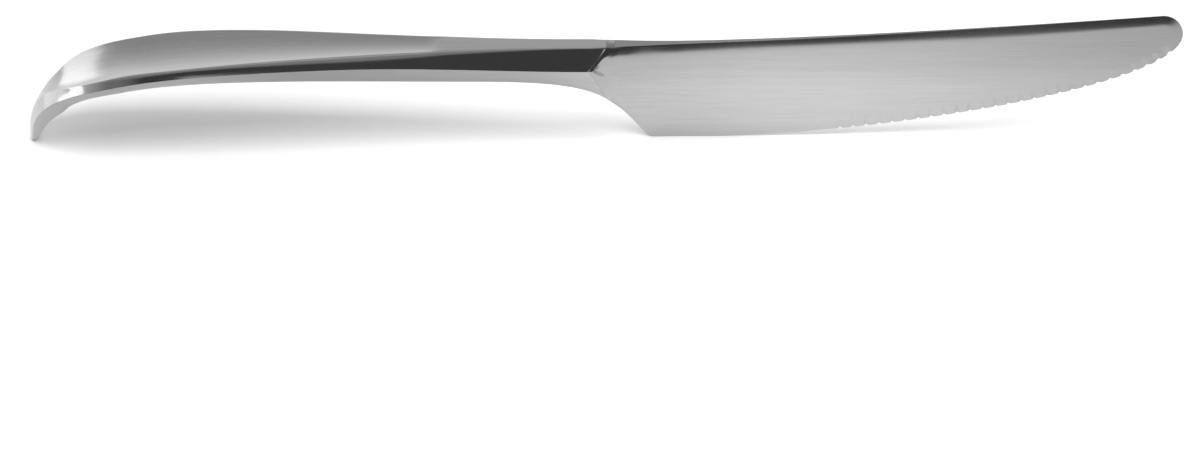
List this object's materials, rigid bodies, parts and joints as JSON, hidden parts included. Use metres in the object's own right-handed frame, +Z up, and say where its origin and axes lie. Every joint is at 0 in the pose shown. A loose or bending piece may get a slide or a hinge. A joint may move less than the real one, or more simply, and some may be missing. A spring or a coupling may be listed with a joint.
{
  "type": "grill knife",
  "caption": "All-steel table knife with a hooked leaf-shaped handle, a wide rounded blade and a fine scalloped cutting edge on one flank.",
  "frame": {"origin": "on the table under the middle of the knife's length, on its middle plane, with the knife standing on its edge and the hook of its handle", "axes": "+X from the handle's hook to the blade's nose, +Y square to the blade and away from its scalloped flank, +Z up from the cutting edge to the spine"},
  "size_m": [0.2346, 0.0208, 0.0264],
  "materials": {
    "blade_steel": "satin, brushed lengthwise",
    "handle_steel": "fine satin",
    "braze": "as melted",
    "cement": "matte"
  },
  "bodies": {
    "root": {"blade": "blade_steel", "handle_top_shell": "handle_steel", "handle_keel_shell": "handle_steel", "seam_braze_left": "braze", "seam_braze_right": "braze", "tang_cement": "cement"}
  },
  "joints": []
}
